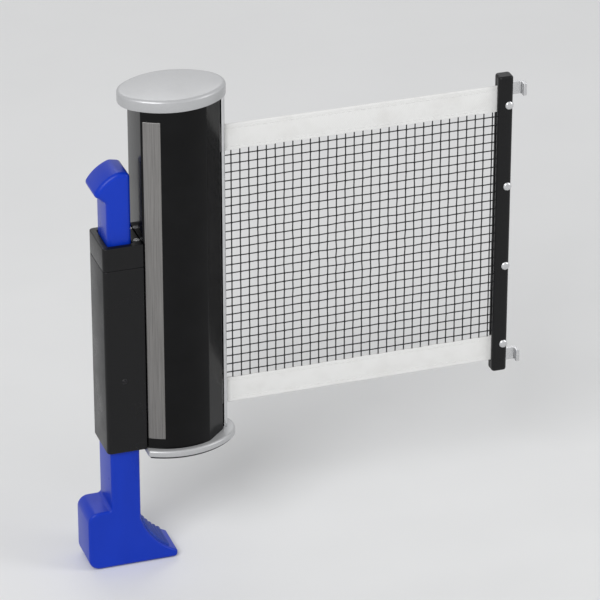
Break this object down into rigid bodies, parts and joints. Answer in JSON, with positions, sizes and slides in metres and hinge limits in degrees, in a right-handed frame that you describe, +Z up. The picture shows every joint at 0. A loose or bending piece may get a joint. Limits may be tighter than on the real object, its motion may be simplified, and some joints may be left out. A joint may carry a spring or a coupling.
{
  "type": "table tennis net clamp post",
  "caption": "Table tennis net clamp: oval post with a sprung net roller, silver cap and flange, sleeve with a sprung sliding jaw and thumb tab, and a drawn-out stretch of net with its end bar.",
  "frame": {"origin": "On the table top, at the middle of the flange's underside (the underside of its rubber pad).", "axes": "+X along the net, away from the post; +Y across the net, to the rear; +Z up."},
  "size_m": [0.2076, 0.036, 0.23],
  "materials": {
    "black_gloss": "glossy black moulded housing, faint orange peel",
    "black_matte": "black moulding with a fine grain",
    "silver_plastic": "satin silver-grey paint on the cap and flange",
    "silver_inlay": "brushed silver inlay strip",
    "steel": "bright zinc-plated steel",
    "blue_plastic": "royal blue semi-gloss moulding",
    "blue_grip": "soft blue rubber with cross ribs",
    "rubber": "black rubber",
    "tube_metal": "drawn aluminium",
    "white_plastic": "white moulding",
    "mesh": "black knotted nylon mesh",
    "band": "white woven tape with stitched edges"
  },
  "bodies": {
    "post": {"housing_front": "black_gloss", "housing_rear": "black_gloss", "housing_screws": "steel", "top_cap": "silver_plastic", "cap_screws": "steel", "base_plate": "silver_plastic", "base_pad": "rubber", "base_screws": "steel", "trim_strip_front": "silver_inlay", "trim_strip_rear": "silver_inlay", "mouth_rod_front": "steel", "mouth_rod_rear": "steel", "clamp_guide": "black_matte", "guide_collar": "black_matte", "guide_screws": "steel", "collar_screws": "steel", "roller_spindle": "steel", "upper_bush": "black_matte", "lower_bush": "black_matte", "spring_anchor": "steel", "roller_spring": "steel", "spring_pin": "steel", "spring_seat": "steel", "clamp_spring": "steel", "net_lead": "mesh", "band_lead": "band", "net_panel": "mesh", "net_top_band": "band", "net_bottom_band": "band"},
    "roller": {"roller_tube": "tube_metal", "roller_plug_upper": "white_plastic", "roller_plug_lower": "white_plastic", "net_roll": "mesh"},
    "slider": {"jaw": "blue_plastic", "jaw_pad": "blue_grip", "thumb_tab": "blue_plastic", "tab_pins": "steel"},
    "end_bar": {"end_bar_front": "black_matte", "end_bar_rear": "black_matte", "end_bar_rivets": "steel", "end_hook_upper": "steel", "end_hook_lower": "steel"}
  },
  "joints": [
    {"name": "clamp_slide", "type": "slide", "parent": "post", "child": "slider", "axis": [0, 0, 1], "range_m": [-0.006, 0.025], "stiffness_N_per_m": 800, "deforming": ["clamp_spring"]},
    {"name": "net_retract", "type": "slide", "parent": "post", "child": "end_bar", "axis": [1, 0, 0], "range_m": [-0.126, 0], "deforming": ["net_panel", "net_top_band", "net_bottom_band"]},
    {"name": "roller_spin", "type": "hinge", "parent": "post", "child": "roller", "pos_m": [-0.002, 0, 0], "axis": [0, 0, 1], "range_deg": [-595, 5]}
  ],
  "couplings": [
    {"joint": "roller_spin", "follows": "net_retract", "rad_per_m": 81.967}
  ]
}
